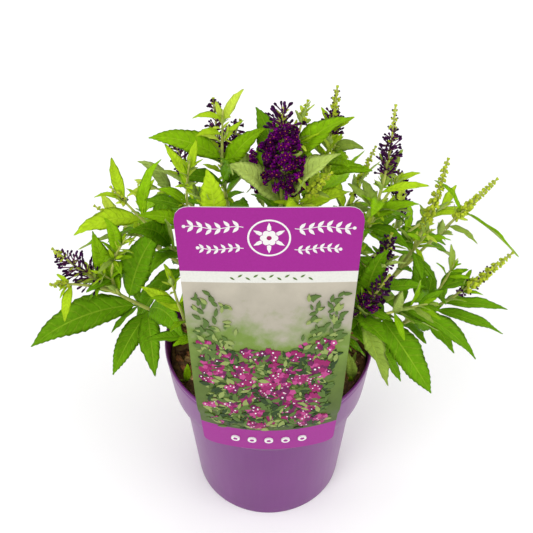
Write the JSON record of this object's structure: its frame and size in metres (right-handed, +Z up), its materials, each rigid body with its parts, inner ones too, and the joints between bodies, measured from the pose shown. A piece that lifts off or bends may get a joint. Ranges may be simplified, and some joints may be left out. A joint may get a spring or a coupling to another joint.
{
  "type": "potted flowering shrub",
  "caption": "Young butterfly bush in a tapered round nursery pot, with lance-shaped leaves, purple flower spikes and a tall picture card hooked on the pot's rim.",
  "frame": {"origin": "centre of the pot's flat underside", "axes": "+Z up along the pot's axis; -Y is the front, where the picture card hangs; +X is to the right as seen from the front"},
  "size_m": [0.3779, 0.2562, 0.3704],
  "materials": {
    "pot_plastic": "satin",
    "soil": "rough, moist",
    "card": "printed, satin",
    "bark": "matte",
    "leaf_green": "soft matte"
  },
  "bodies": {
    "root": {"bough_back": "bark", "bough_back_left": "bark", "bough_back_right": "bark", "bough_back_right_top": "bark", "bough_centre": "bark", "bough_front": "bark", "bough_front_left": "bark", "bough_front_right": "bark", "bough_left_back": "bark", "bough_left_low": "bark", "bough_left_middle": "bark", "bough_right_back": "bark", "bough_right_high": "bark", "bough_right_low": "bark", "bough_right_middle": "bark", "bough_top_left": "bark", "foliage_back": "leaf_green", "foliage_back_left": "leaf_green", "foliage_back_right": "leaf_green", "foliage_back_right_top": "leaf_green", "foliage_centre": "leaf_green", "foliage_front": "leaf_green", "foliage_front_left": "leaf_green", "foliage_front_right": "leaf_green", "foliage_left_back": "leaf_green", "foliage_left_low": "leaf_green", "foliage_left_middle": "leaf_green", "foliage_right_back": "leaf_green", "foliage_right_high": "leaf_green", "foliage_right_low": "leaf_green", "foliage_right_middle": "leaf_green", "foliage_top_left": "leaf_green", "label_card": "card", "main_stem": "bark", "pot": "pot_plastic", "root_ball": "soil"}
  },
  "joints": []
}
